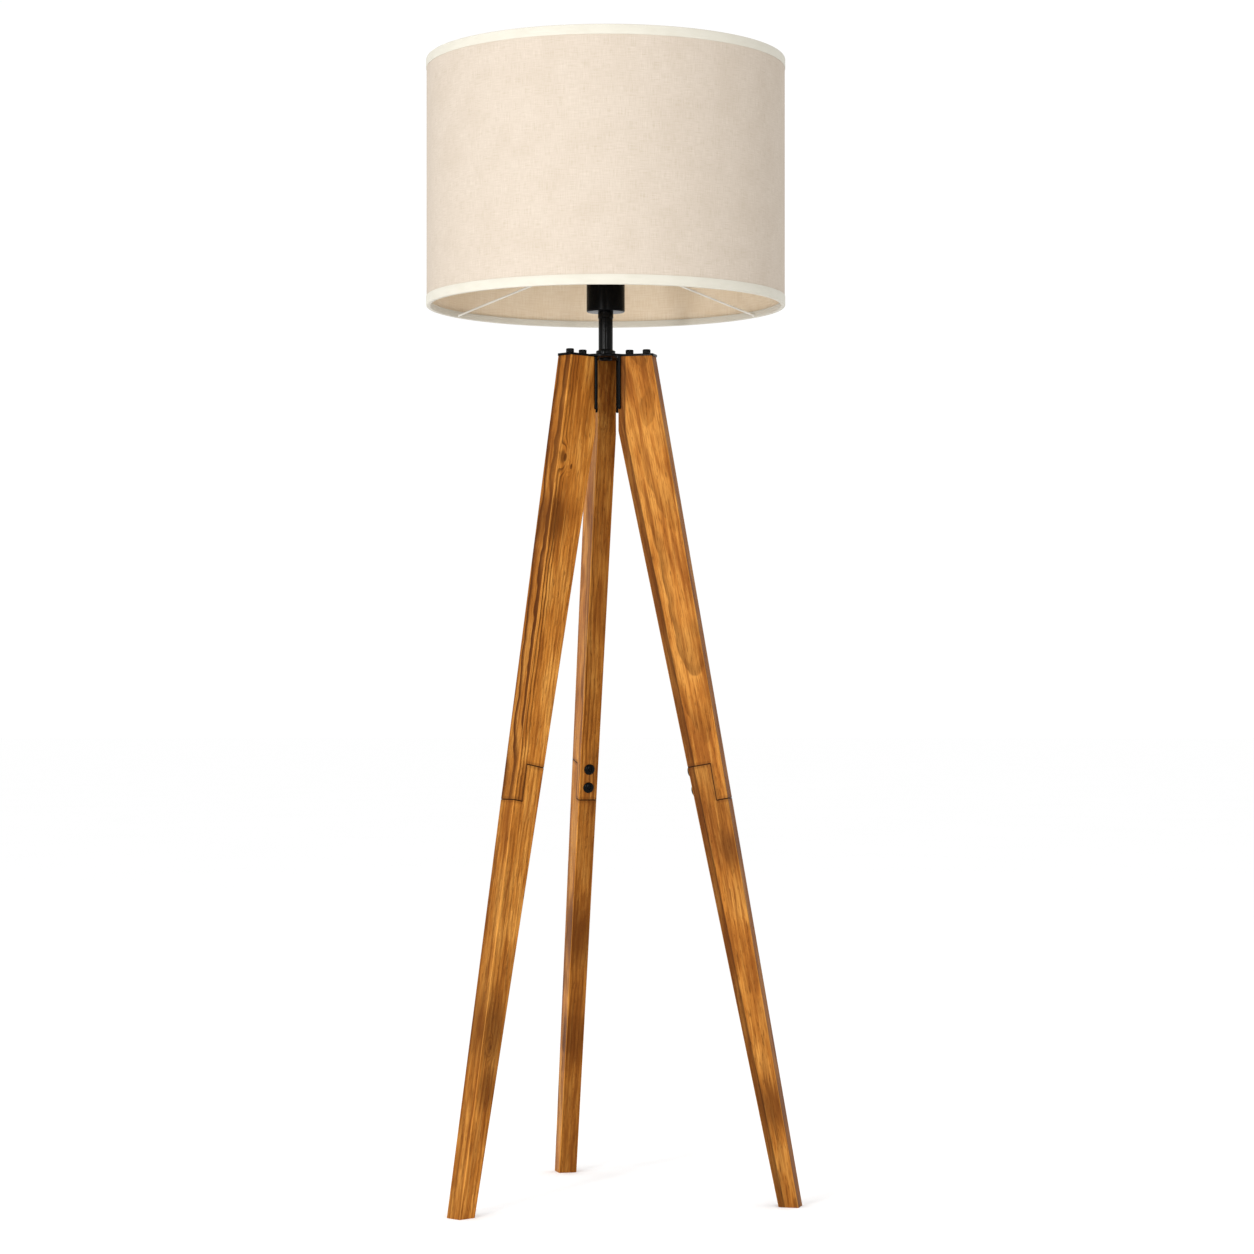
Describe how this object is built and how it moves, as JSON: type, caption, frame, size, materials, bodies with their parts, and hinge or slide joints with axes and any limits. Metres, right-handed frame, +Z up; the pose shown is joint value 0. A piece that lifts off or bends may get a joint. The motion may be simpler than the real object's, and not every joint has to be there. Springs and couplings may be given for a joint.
{
  "type": "tripod floor lamp",
  "caption": "Tripod floor lamp: tapered stained pine legs joined by laps, black steel bracket and stem, and a linen drum shade on a wire carrier.",
  "frame": {"origin": "on the floor, under the axis of the stem, lampholder and shade", "axes": "+Z up along the stem; +Y towards the leg whose foot stands at the back; +X to the right"},
  "size_m": [0.4515, 0.476, 1.4265],
  "materials": {
    "stained_pine": "satin stained and lacquered, open knotty grain",
    "black_steel": "satin black powder coat",
    "black_fixings": "black oxide, satin",
    "black_plastic": "fine matte",
    "brass": "turned",
    "zinc_steel": "bright zinc plated",
    "white_ceramic": "matte unglazed",
    "bulb_cap_metal": "rolled thread, bright",
    "frosted_glass": "white frosted",
    "shade_linen": "plain woven linen, matte",
    "shade_backing": "thin translucent film, matte",
    "shade_trim": "folded cotton tape, matte",
    "white_wire": "white enamel, satin"
  },
  "bodies": {
    "stand": {"leg_left_upper": "stained_pine", "leg_left_lower": "stained_pine", "leg_right_upper": "stained_pine", "leg_right_lower": "stained_pine", "leg_back_upper": "stained_pine", "leg_back_lower": "stained_pine", "leg_lap_screws": "black_fixings", "leg_lap_inserts": "brass", "top_bracket": "black_steel", "bracket_guide_pins": "black_steel", "leg_top_bolts": "black_fixings", "leg_top_inserts": "brass", "stem_flange": "black_steel", "stem_tube": "black_steel", "stem_collar": "black_steel", "threaded_nipple": "zinc_steel", "cord_outlet_bush": "black_plastic", "lampholder_cover": "black_steel", "nipple_washer": "zinc_steel", "nipple_nut": "zinc_steel", "terminal_block": "white_ceramic", "terminal_screws": "brass", "lampholder_core": "black_plastic", "screw_shell": "brass", "centre_contact": "brass"},
    "shade": {"shade_backing": "shade_backing", "shade_fabric": "shade_linen", "shade_bottom_ring": "white_wire", "shade_top_ring": "white_wire", "shade_bottom_trim": "shade_trim", "shade_top_trim": "shade_trim", "shade_carrier_ring": "white_wire", "shade_carrier_arms": "white_wire"},
    "retaining_ring": {"shade_retaining_ring": "black_plastic"},
    "bulb": {"bulb_tip": "zinc_steel", "bulb_base": "bulb_cap_metal", "bulb_globe": "frosted_glass"}
  },
  "joints": [
    {"name": "shade_turn", "type": "hinge", "parent": "stand", "child": "shade", "pos_m": [0, 0, 1.174], "axis": [0, 0, 1], "continuous": true},
    {"name": "retaining_ring_turn", "type": "hinge", "parent": "stand", "child": "retaining_ring", "pos_m": [0, 0, 1.176], "axis": [0, 0, 1], "continuous": true},
    {"name": "bulb_lift", "type": "slide", "parent": "stand", "child": "bulb", "axis": [0, 0, 1], "range_m": [0, 0.3]}
  ]
}
